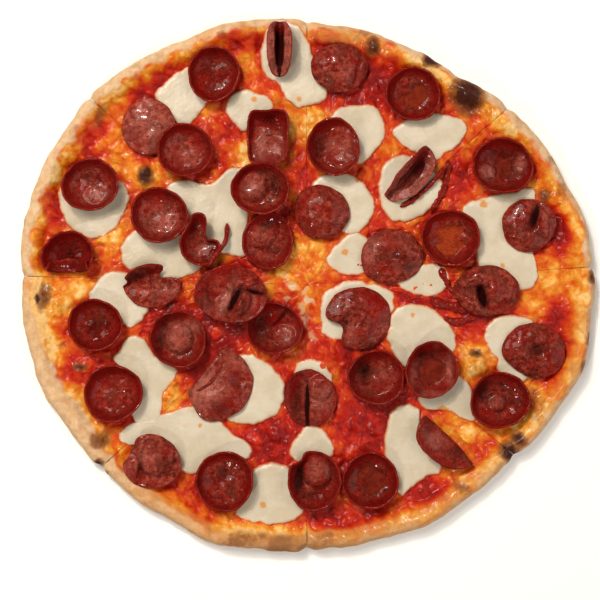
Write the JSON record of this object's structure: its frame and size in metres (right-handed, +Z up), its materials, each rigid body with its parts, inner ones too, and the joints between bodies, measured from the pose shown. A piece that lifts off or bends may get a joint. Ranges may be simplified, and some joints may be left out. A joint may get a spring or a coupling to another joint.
{
  "type": "pepperoni pizza",
  "caption": "Round pepperoni pizza cut in slices, with a raised browned rim, mozzarella pools and curled pepperoni cups, domes and folds.",
  "frame": {"origin": "middle of the box around the pizza, on its flat underside", "axes": "+Z up out of the topped side, +X to the right and +Y away from the viewer, seen from above"},
  "size_m": [0.3341, 0.3101, 0.0215],
  "materials": {
    "crust": "baked dough",
    "mozzarella": "satin",
    "pepperoni": "oily"
  },
  "bodies": {
    "root": {"slice_1": "crust", "slice_2": "crust", "slice_3": "crust", "slice_4": "crust", "slice_5": "crust", "slice_6": "crust", "slice_7": "crust", "slice_8": "crust", "mozzarella_a": "mozzarella", "mozzarella_b": "mozzarella", "mozzarella_c": "mozzarella", "mozzarella_d": "mozzarella", "mozzarella_e": "mozzarella", "mozzarella_f": "mozzarella", "mozzarella_g": "mozzarella", "mozzarella_h": "mozzarella", "mozzarella_i": "mozzarella", "mozzarella_j": "mozzarella", "mozzarella_k": "mozzarella", "mozzarella_l": "mozzarella", "mozzarella_m": "mozzarella", "pepperoni_01": "pepperoni", "pepperoni_02": "pepperoni", "pepperoni_03": "pepperoni", "pepperoni_04": "pepperoni", "pepperoni_05": "pepperoni", "pepperoni_06": "pepperoni", "pepperoni_07": "pepperoni", "pepperoni_08": "pepperoni", "pepperoni_09": "pepperoni", "pepperoni_10": "pepperoni", "pepperoni_11": "pepperoni", "pepperoni_12": "pepperoni", "pepperoni_13": "pepperoni", "pepperoni_14": "pepperoni", "pepperoni_15": "pepperoni", "pepperoni_16": "pepperoni", "pepperoni_17": "pepperoni", "pepperoni_18": "pepperoni", "pepperoni_19": "pepperoni", "pepperoni_20": "pepperoni", "pepperoni_21": "pepperoni", "pepperoni_22": "pepperoni", "pepperoni_23": "pepperoni", "pepperoni_24": "pepperoni", "pepperoni_25": "pepperoni", "pepperoni_26": "pepperoni", "pepperoni_27": "pepperoni", "pepperoni_28": "pepperoni", "pepperoni_29": "pepperoni", "pepperoni_30": "pepperoni", "pepperoni_31": "pepperoni", "pepperoni_32": "pepperoni", "pepperoni_33": "pepperoni", "pepperoni_34": "pepperoni", "pepperoni_35": "pepperoni", "pepperoni_36": "pepperoni", "pepperoni_37": "pepperoni", "pepperoni_38": "pepperoni", "pepperoni_39": "pepperoni"}
  },
  "joints": []
}
